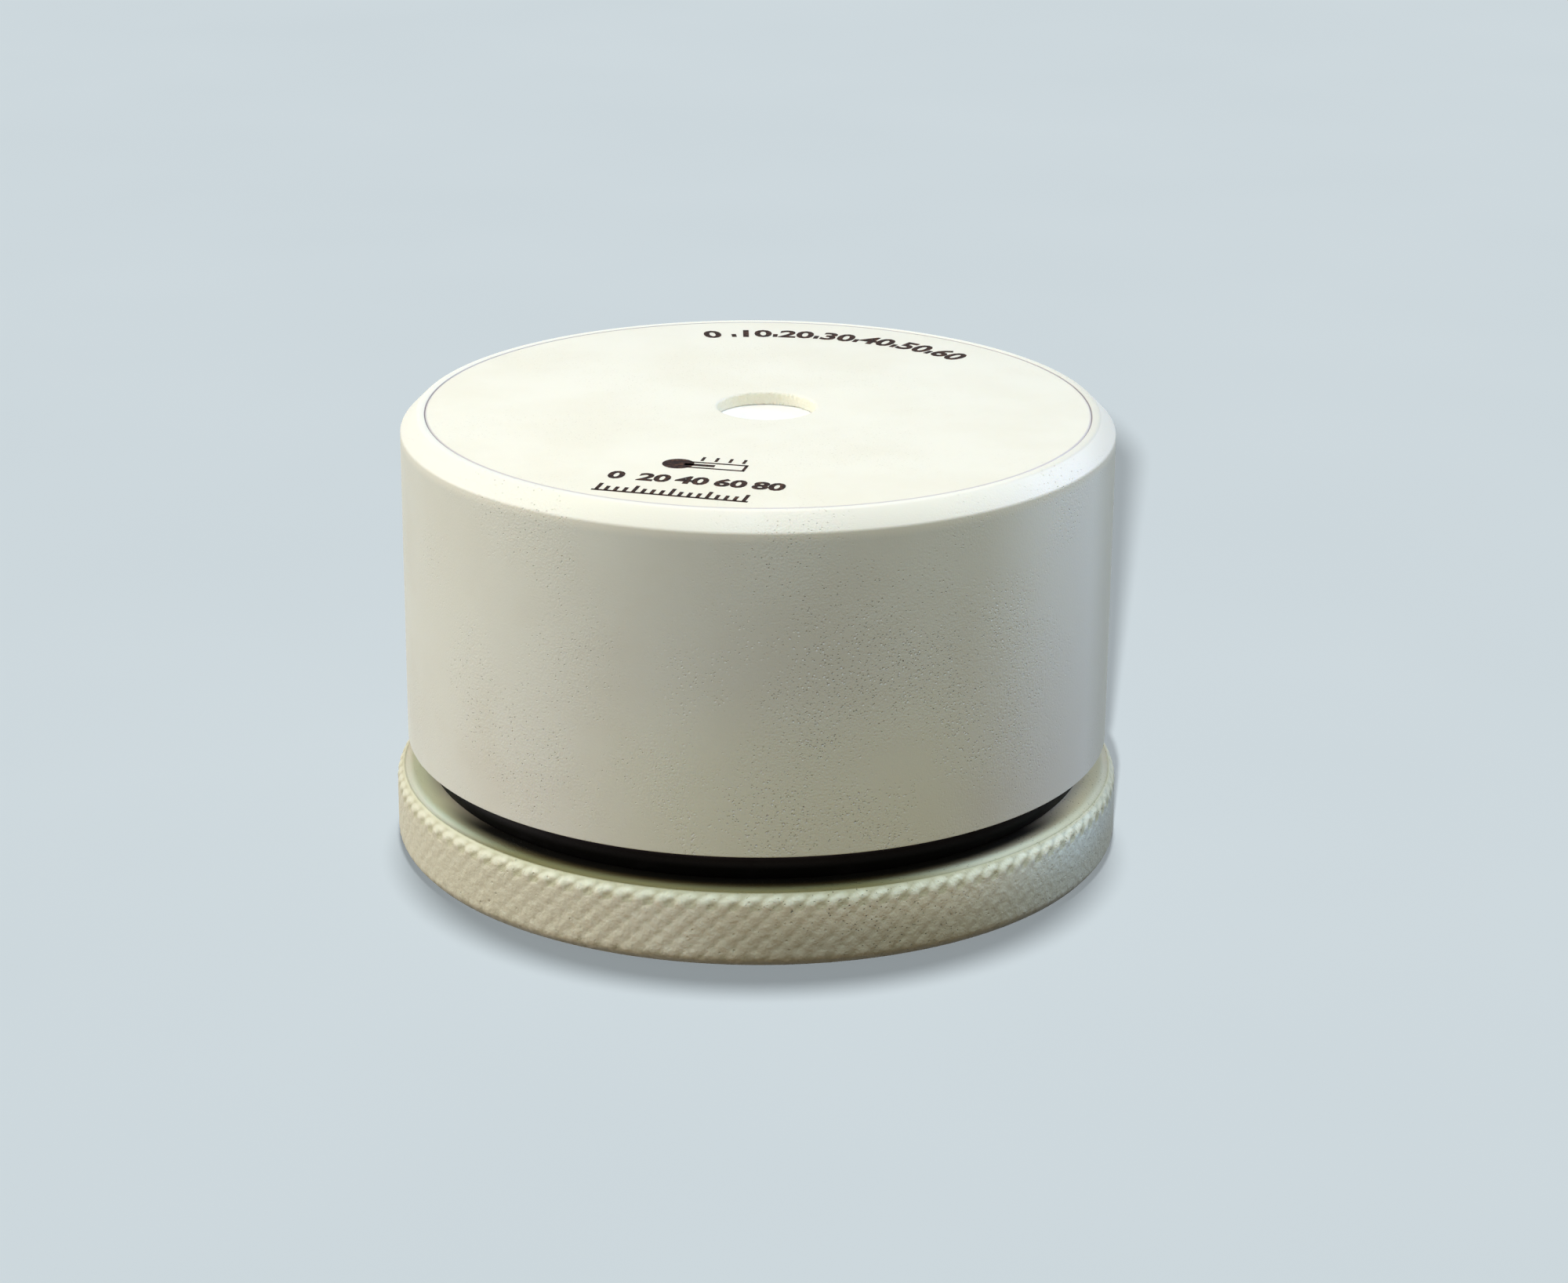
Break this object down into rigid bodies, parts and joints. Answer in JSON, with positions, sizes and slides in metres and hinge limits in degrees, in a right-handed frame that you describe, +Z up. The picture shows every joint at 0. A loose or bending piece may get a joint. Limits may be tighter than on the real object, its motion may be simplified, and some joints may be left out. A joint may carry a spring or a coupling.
{
  "type": "temperature data logger",
  "caption": "Round puck-shaped temperature data logger with a turned plastic housing, a central sensor port, a rubber seal and a knurled screw base.",
  "frame": {"origin": "centre of the knurled base's flat underside, where the logger stands", "axes": "+Z up along the common axis of base and housing, towards the top disc; -Y towards the viewer of the picture"},
  "size_m": [0.06, 0.06, 0.0362],
  "materials": {
    "base_plastic": "satin moulded and turned ivory plastic",
    "housing_plastic": "satin turned ivory-white plastic",
    "disc_plastic": "fine turned white plastic",
    "seal_rubber": "black seal rubber",
    "spring_steel": "bright wire",
    "plate_plastic": "grey moulded plastic",
    "cell_steel": "plated steel can",
    "carrier_plastic": "natural moulded plastic",
    "contact_metal": "nickel-plated strip",
    "board_laminate": "green solder mask",
    "screw_steel": "stainless",
    "spacer_brass": "six-sided turned brass",
    "pad_silicone": "soft blue-grey silicone",
    "bead_epoxy": "dark epoxy bead",
    "chip_epoxy": "black moulding compound",
    "storage_epoxy": "ochre moulding compound",
    "chip_ceramic": "tan ceramic",
    "resistor_film": "black glaze",
    "coil_copper": "enamelled copper wire",
    "reed_glass": "green-tinted glass tube"
  },
  "bodies": {
    "base": {"knurled_base": "base_plastic", "main_o_ring": "seal_rubber", "plate_spring": "spring_steel"},
    "plate": {"pressure_plate": "plate_plastic"},
    "housing": {"housing_shell": "housing_plastic", "top_disc": "disc_plastic", "lithium_cell": "cell_steel", "cell_carrier": "carrier_plastic", "positive_contact": "contact_metal", "negative_contact": "contact_metal", "circuit_board": "board_laminate", "board_screws": "screw_steel", "board_spacers": "spacer_brass", "sensor_cup": "screw_steel", "thermal_pad": "pad_silicone", "temperature_sensor": "bead_epoxy", "processor_chip": "chip_epoxy", "memory_chip": "chip_epoxy", "clock_crystal": "screw_steel", "storage_capacitor": "storage_epoxy", "ceramic_capacitors": "chip_ceramic", "chip_resistors": "resistor_film", "readout_coil": "coil_copper", "start_reed_switch": "reed_glass"}
  },
  "joints": [
    {"name": "plate_rise", "type": "slide", "parent": "base", "child": "plate", "axis": [0, 0, 1], "range_m": [0, 0.006], "deforming": ["plate_spring"]},
    {"name": "housing_unscrew", "type": "hinge", "parent": "plate", "child": "housing", "pos_m": [0, 0, 0.02], "axis": [0, 0, 1], "range_deg": [0, 1080]}
  ],
  "couplings": [
    {"joint": "plate_rise", "follows": "housing_unscrew", "m_per_rad": 0.0003183}
  ]
}
